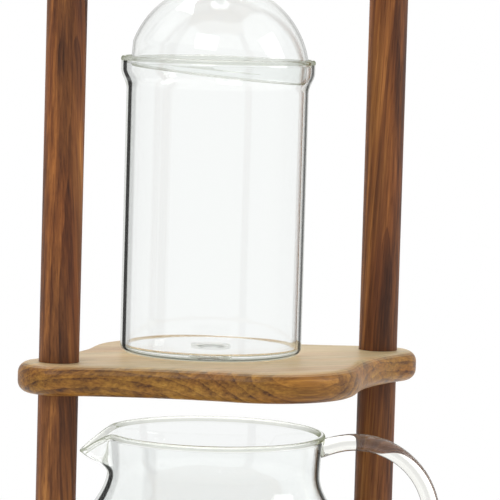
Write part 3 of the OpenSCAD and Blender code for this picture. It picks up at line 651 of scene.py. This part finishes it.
# painted reflections: olive is the colour of the beads' painted edge lines and dull that of the lip's,
# standing in for the room mirrored in the rims
olive = (0.36, 0.38, 0.26, 1.0)
dull = (0.14, 0.15, 0.11, 1.0)
lip_bands = [(0.46, grey(0.0)), (0.66, grey(0.22)), (0.80, grey(0.62)), (1.0, grey(0.70))]
jug_tint = (0.925, 0.94, 0.935, 1.0)
rod_tint = (0.965, 0.965, 0.925, 1.0)
glass_wall = glass("clear_glass", glass_tint, wall_bands, wall_plain, (0.82, 0.92))
glass_jug = glass("clear_glass_jug", jug_tint, wall_bands, wall_plain, (0.50, 0.80))
glass_lip = glass("clear_glass_lip", glass_tint, lip_bands, lip_bands, None, dull)
glass_dome = glass("clear_glass_lid", glass_tint, dome_bands, dome_bands, (0.50, 0.80))
glass_rod = glass("clear_glass_rod", rod_tint, rod_bands, rod_bands, None)
glass_bead = glass("clear_glass_bead", glass_tint, bead_bands, bead_bands, None, olive)
steel = metal("bright_steel", rgb(206, 208, 211), 0.16, 2)
plug_steel = metal("bright_steel_plug", rgb(206, 208, 211), 0.16, 1)
brass = metal("satin_brass", rgb(206, 168, 92), 0.26, 1)
brass_upright = metal("satin_brass_upright", rgb(206, 168, 92), 0.26, 2)
black_rubber = rubber("black_rubber", rgb(34, 34, 34), 0.6)
clear_silicone = silicone("clear_silicone", 0.65)
milky_silicone = silicone("milky_silicone", 0.0)

node_looks = {
    "base_board": board_wood("acacia_base", "base_board", (1.2, 3.4, 5.6), (0.05, -0.045)),
    "middle_shelf": board_wood("acacia_middle", "middle_shelf", (4.2, 8.1, 2.7), (-0.03, -0.040)),
    "top_shelf": board_wood("acacia_top", "top_shelf", (7.7, 0.6, 3.3), (0.02, -0.050)),
    "left_post": left_wood, "right_post": right_wood, "tap_lever": lever_wood,
    "base_bolts": steel, "foot_screws": steel, "filter_disc": steel, "tap_body": steel,
    "drip_tip": steel, "tap_plug": plug_steel, "tap_washer": plug_steel, "tap_nut": plug_steel,
    "post_inserts": brass_upright, "shelf_screws": brass, "lever_screw": brass,
    "rubber_feet": black_rubber, "plug_seals": black_rubber,
    "filter_ring": clear_silicone, "tap_stopper": milky_silicone,
}
for name, look in node_looks.items():
    mesh = nodes[name].data
    mesh.materials.clear()
    mesh.materials.append(look)


# ------------------------------------------------------------------ glass pieces

def place(obj, x, y, z, turn=None):
    obj.data.transform(turn or Matrix.Identity(4))
    obj.data.transform(Matrix.Translation(Vector((x, y, z)) * MM))


def stand_in(obj, body, slot, *replaced):
    outward(obj)
    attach(obj, body)
    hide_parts(*replaced)


def vessel_bead(r, z):
    return z > VESSEL_H - 2 * BEAD_R


def lid_bead(r, z):
    return z < LID_WALL or z > lid_height() - LID_WALL


def carafe_bead(r, z):
    return z > CARAFE_H - 2 * BEAD_R


chamber = lathe("chamber_glass", vessel_profile(), (glass_wall, glass_bead), bead=vessel_bead)
place(chamber, 0, GLASS_Y, MIDDLE_TOP + AIR)
stand_in(chamber, "chamber", "clear_glass", "coffee_chamber")

water = lathe("water_vessel_glass", vessel_profile(), (glass_wall, glass_bead), bead=vessel_bead)
place(water, 0, GLASS_Y, TOP_TOP + AIR)
stand_in(water, "vessel", "clear_glass", "water_vessel")

corner_drop = LID_R * math.sin(LID_TILT)
lid_z = (MIDDLE_TOP + VESSEL_H - seat_depth(LID_R * math.cos(LID_TILT) + LID_GAP)
         + corner_drop + LID_GAP)
askew = Matrix.Rotation(LID_TILT, 4, Vector((-math.sin(LID_LEAN), math.cos(LID_LEAN), 0)))
cover = lathe("chamber_lid_glass", lid_profile(), (glass_dome, glass_bead), bead=lid_bead)
place(cover, 0, GLASS_Y, lid_z, askew)
stand_in(cover, "chamber_cover", "clear_glass", "chamber_lid")

top_cover = lathe("vessel_lid_glass", lid_profile(), (glass_dome, glass_bead), bead=lid_bead)
place(top_cover, 0, GLASS_Y, TOP_TOP + VESSEL_H - seat_depth(LID_R + LID_GAP) + LID_GAP)
stand_in(top_cover, "vessel_cover", "clear_glass", "vessel_lid")

least_pull = 0.04             # less than this doesn't count as part of the lip
jug = lathe("carafe_glass", carafe_profile(), (glass_jug, glass_bead, glass_lip), 224, pull_lip,
            carafe_bead)
for face in jug.data.polygons:
    spot = face.center / MM
    pulled = lip_pull(*to_lip(spot.x, spot.y)) > least_pull
    if face.material_index == 0 and pulled and spot.z > CARAFE_H - LIP_GLASS:
        face.material_index = 2
rod = handle_mesh("carafe_rod")
outward(jug)
outward(rod)
rod.data.materials.append(glass_rod)
weld(jug, rod)
place(jug, CARAFE_X, GLASS_Y, BASE_TOP + AIR)
stand_in(jug, "carafe", "clear_glass", "carafe", "carafe_handle")

# ------------------------------------------------------------------ studio

scene = bpy.context.scene
scene.view_settings.view_transform = "Standard"


def looked_at(nt):
    """1 for a ray from the camera, a mirror or a glass, 0 for one that only carries light."""
    path = add(nt, "LightPath").outputs
    return calc(nt, "MAXIMUM", path["Is Camera Ray"], calc(nt, "MAXIMUM", path["Is Glossy Ray"],
                                                          path["Is Transmission Ray"]))


def floor():
    """A pale floor that fades into the white surround away from the object."""
    sides, radius, sunk = 96, 3.2, 0.0002    # metres; sunk keeps it off the feet's own faces
    verts = [(0, 0, 0)] + [(radius / MM * math.cos(2 * math.pi * k / sides),
                            radius / MM * math.sin(2 * math.pi * k / sides), 0) for k in range(sides)]
    faces = [[0, 1 + k, 1 + (k + 1) % sides] for k in range(sides)]
    obj = new_mesh("floor", verts, faces)
    obj.location.z = -sunk
    mat, nt = material("pale_floor")
    co = object_coords(nt)
    grain = noise(nt, co, 40.0, 3.0, 0.6)
    colour = ramp(nt, grain, [(0.3, rgb(232, 232, 230)), (0.7, rgb(238, 238, 236))])
    shader = principled(nt, {"Base Color": colour, "Roughness": 0.7})
    glow = add(nt, "Emission", {"Color": grey(1.0), "Strength": 0.30})
    both = add(nt, "AddShader", {0: shader.outputs[0], 1: glow.outputs[0]})
    far = add(nt, "VectorMath", {0: co}, operation="LENGTH").outputs["Value"]
    white = ramp(nt, calc(nt, "DIVIDE", far, radius), [(0.16, grey(0.0)), (0.25, grey(1.0))])
    seen = looked_at(nt)
    bright = add(nt, "Emission", {"Color": grey(1.0), "Strength": 1.0})
    dim = add(nt, "MixShader", {0: seen, 1: shader.outputs[0], 2: both.outputs[0]})
    faded = add(nt, "MixShader", {0: calc(nt, "MULTIPLY", white, seen), 1: dim.outputs[0],
                                  2: bright.outputs[0]})
    finish_material(nt, faded.outputs[0])
    obj.data.materials.append(mat)


def surround(diffuse):
    """White wherever the camera, a mirror or a glass looks; dimmer as a lamp."""
    world = bpy.data.worlds.new("studio")
    world.use_nodes = True
    nt = world.node_tree
    nt.nodes.clear()
    seen = looked_at(nt)
    lamp = add(nt, "Background", {"Color": grey(1.0), "Strength": diffuse})
    white = add(nt, "Background", {"Color": grey(1.0), "Strength": 1.0})
    both = add(nt, "MixShader", {0: seen, 1: lamp.outputs[0], 2: white.outputs[0]})
    out = nt.nodes.new("ShaderNodeOutputWorld")
    nt.links.new(both.outputs[0], out.inputs["Surface"])
    scene.world = world


def softbox(name, place_m, aim_m, width, height, watts):
    """A rectangular lamp in metres that looks from one place at another."""
    data = bpy.data.lights.new(name, "AREA")
    data.shape, data.size, data.size_y, data.energy = "RECTANGLE", width, height, watts
    obj = bpy.data.objects.new(name, data)
    obj.location = place_m
    obj.rotation_euler = (Vector(aim_m) - Vector(place_m)).to_track_quat("-Z", "Y").to_euler()
    scene.collection.objects.link(obj)


floor()
surround(0.62)
softbox("key", (-1.5, -1.3, 1.9), (0, 0, 0.35), 1.2, 1.2, 21)
softbox("fill", (1.6, -1.2, 1.2), (0, 0, 0.35), 1.0, 1.4, 14)
softbox("top", (0.1, 0.5, 2.2), (0, 0, 0.3), 1.6, 1.6, 40)


def camera():
    """The photograph's view, from a fit to the posts, the shelf and the glass."""
    az, pitch, roll = math.radians(-29.667), math.radians(4.869), math.radians(1.629)
    picture_px, focal_px, distance, aim_x, aim_z = 500, 3223.7, 1763.3, 13.27, 58.29
    back = Vector((math.sin(az) * math.cos(pitch), -math.cos(az) * math.cos(pitch), math.sin(pitch)))
    right = Vector((math.cos(az), math.sin(az), 0))
    up = back.cross(right)
    r = right * math.cos(roll) + up * math.sin(roll)
    u = up * math.cos(roll) - right * math.sin(roll)
    aim = Vector((aim_x * math.cos(az), aim_x * math.sin(az), MIDDLE_TOP + aim_z))
    at = (aim + back * distance) * MM
    data = bpy.data.cameras.new("photo")
    data.sensor_width = 36
    data.lens = focal_px / picture_px * data.sensor_width
    data.clip_start, data.clip_end = 0.05, 100
    obj = bpy.data.objects.new("photo", data)
    turn = Matrix((r, u, back)).transposed()
    obj.matrix_world = Matrix.Translation(at) @ turn.to_4x4()
    scene.collection.objects.link(obj)
    scene.camera = obj


camera()
